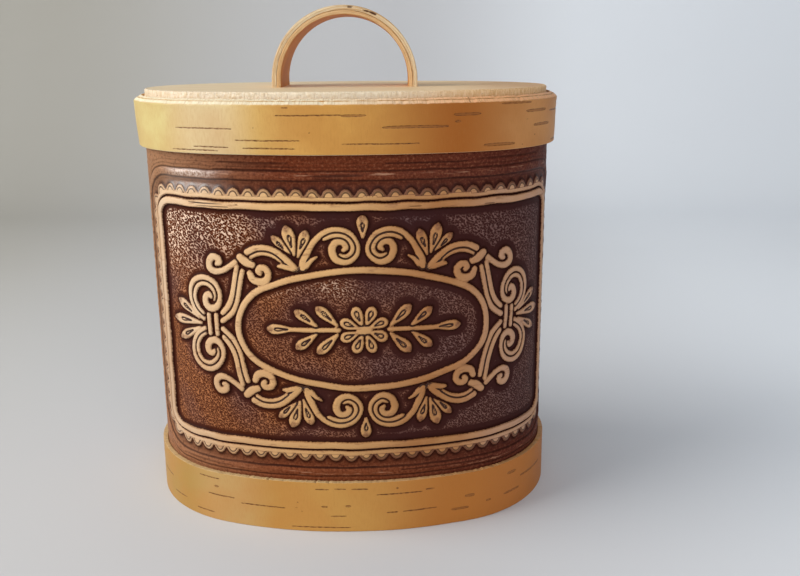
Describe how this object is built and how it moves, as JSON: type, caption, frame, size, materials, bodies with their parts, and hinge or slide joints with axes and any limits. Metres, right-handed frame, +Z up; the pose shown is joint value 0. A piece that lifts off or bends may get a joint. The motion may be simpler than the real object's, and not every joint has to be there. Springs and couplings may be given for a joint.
{
  "type": "lidded birch bark box",
  "caption": "Oval birch bark box with an embossed stained wrap, pale bark bands and a lift-off lid with an arched strip handle.",
  "frame": {"origin": "on the surface that the box stands on, under its middle", "axes": "+Z up, +X to the right along the longer side of the oval, the embossed front faces -Y"},
  "size_m": [0.1462, 0.1042, 0.1707],
  "materials": {
    "bark_band": "smooth yellow birch bark with fine horizontal lenticels, satin",
    "bark_stained": "embossed birch bark, stained dark brown with the raised ornament wiped back to tan",
    "bark_wall": "plain birch bark, inner side, matt",
    "bark_handle": "pale bark strip with dark flecks on the cut edge, matt",
    "bark_handle_inner": "orange inner side of birch bark, matt",
    "lid_wood": "pale sanded wood with a rough cut edge, matt",
    "bottom_wood": "plain sanded wood, matt"
  },
  "bodies": {
    "box": {"inner_wall": "bark_wall", "embossed_wrap": "bark_stained", "bottom_board": "bottom_wood", "foot_band": "bark_band"},
    "lid": {"lid_under_board": "lid_wood", "lid_top_board": "lid_wood", "lid_band_liner": "bark_wall", "lid_band": "bark_band", "handle_outer_strip": "bark_handle", "handle_inner_strip": "bark_handle_inner", "handle_lock_peg": "bottom_wood"}
  },
  "joints": [
    {"name": "lid_lift", "type": "slide", "parent": "box", "child": "lid", "axis": [0, 0, 1], "range_m": [0, 0.06]}
  ]
}
